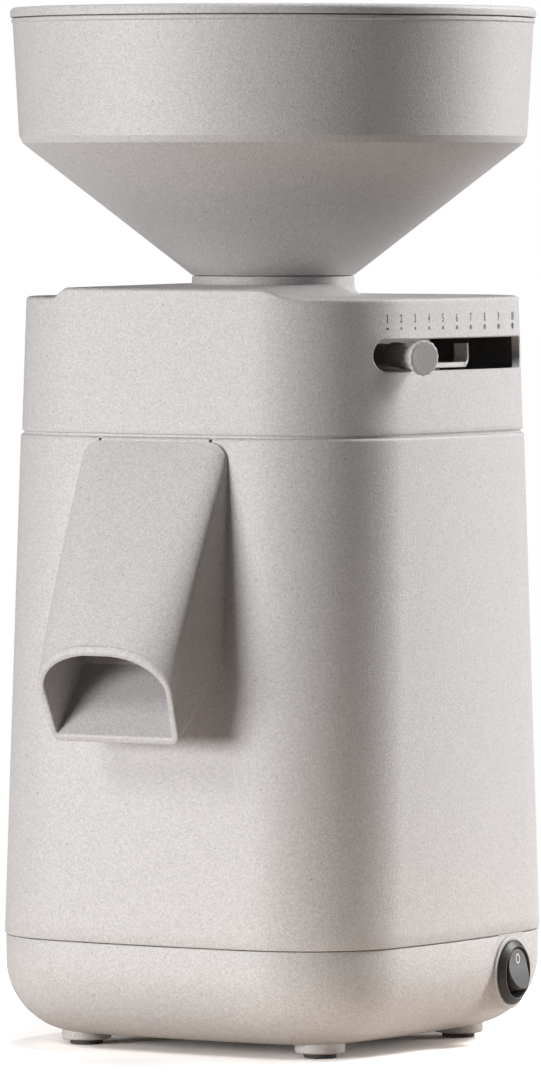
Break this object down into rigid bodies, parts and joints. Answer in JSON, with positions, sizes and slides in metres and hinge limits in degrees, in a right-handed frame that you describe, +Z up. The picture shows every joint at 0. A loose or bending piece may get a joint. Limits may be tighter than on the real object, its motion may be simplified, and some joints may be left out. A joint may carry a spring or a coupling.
{
  "type": "electric grain mill",
  "caption": "Upright electric stone mill: round lidded hopper, rounded square housing, front spout, side fineness lever in a slot and a rocker switch.",
  "frame": {"origin": "on the floor, below the middle of the whole outline", "axes": "+Z up, +X to the side with the lever and the switch, -Y to the front with the spout"},
  "size_m": [0.183, 0.2035, 0.36],
  "materials": {
    "housing_plastic": "warm light grey moulded plastic with fine dark speckles, satin",
    "lever_plastic": "light grey moulded plastic, satin",
    "black_plastic": "black moulded plastic, fine matt grain",
    "rubber": "soft black rubber",
    "steel": "zinc plated steel",
    "aluminium": "die-cast aluminium",
    "iron": "stacked laminations, varnished",
    "copper": "enamelled copper wire",
    "felt": "pressed felt",
    "millstone": "bonded ceramic grit, off-white"
  },
  "bodies": {
    "housing": {"base_tray": "housing_plastic", "bottom_cover": "housing_plastic", "cover_screws": "steel", "foot_front_left": "rubber", "foot_front_right": "rubber", "foot_rear_left": "rubber", "foot_rear_right": "rubber", "housing_screws": "steel", "main_housing": "housing_plastic", "spout": "housing_plastic", "top_housing": "housing_plastic", "top_screws": "steel", "cord_inlet": "black_plastic", "switch_bezel": "black_plastic", "switch_body": "black_plastic", "switch_terminals": "steel", "terminal_block": "black_plastic", "wiring": "copper", "motor_grommets": "rubber", "mount_screws": "steel", "lower_end_shield": "aluminium", "upper_end_shield": "aluminium", "stator_core": "iron", "stator_windings": "copper", "motor_bolts": "steel", "run_capacitor": "aluminium", "capacitor_clamp": "steel", "thermal_cutout": "black_plastic", "lower_bearing_outer": "steel", "upper_bearing_outer": "steel", "flour_chamber": "housing_plastic", "chamber_screws": "steel", "shaft_seal": "felt", "chamber_gasket": "felt"},
    "hopper": {"hopper": "housing_plastic", "finger_guard": "housing_plastic"},
    "lid": {"hopper_lid": "housing_plastic"},
    "lever": {"adjusting_ring": "lever_plastic", "lever_arm": "lever_plastic", "arm_rivets": "steel", "lever_knob": "lever_plastic", "knob_screw": "steel"},
    "upper_stone": {"stone_holder": "aluminium", "upper_millstone": "millstone", "holder_screws": "steel"},
    "rotor": {"motor_shaft": "steel", "rotor_core": "iron", "cooling_fan": "black_plastic", "fan_clip": "steel", "lower_bearing_inner": "steel", "upper_bearing_inner": "steel", "lower_bearing_balls": "steel", "upper_bearing_balls": "steel", "stone_carrier": "aluminium", "lower_millstone": "millstone", "clamp_washer": "steel", "clamp_screw": "steel"},
    "rocker": {"switch_rocker": "black_plastic", "rocker_pin": "steel"}
  },
  "joints": [
    {"name": "hopper_lift", "type": "slide", "parent": "housing", "child": "hopper", "axis": [0, 0, 1], "range_m": [0, 0.045]},
    {"name": "lid_lift", "type": "slide", "parent": "hopper", "child": "lid", "axis": [0, 0, 1], "range_m": [0, 0.05]},
    {"name": "lever_turn", "type": "hinge", "parent": "housing", "child": "lever", "pos_m": [0, 0.01025, 0.2365], "axis": [0, 0, 1], "range_deg": [-4.5, 48.5]},
    {"name": "stone_rise", "type": "slide", "parent": "housing", "child": "upper_stone", "axis": [0, 0, 1], "range_m": [-0.00006, 0.00055]},
    {"name": "rotor_spin", "type": "hinge", "parent": "housing", "child": "rotor", "pos_m": [0, 0.01025, 0.12], "axis": [0, 0, 1], "continuous": true},
    {"name": "rocker_tilt", "type": "hinge", "parent": "housing", "child": "rocker", "pos_m": [0.07673, 0.03903, 0.0253], "axis": [-0.0674, 0.9977, 0], "range_deg": [0, 24]}
  ],
  "couplings": [
    {"joint": "stone_rise", "follows": "lever_turn", "m_per_rad": 0.00063662}
  ]
}
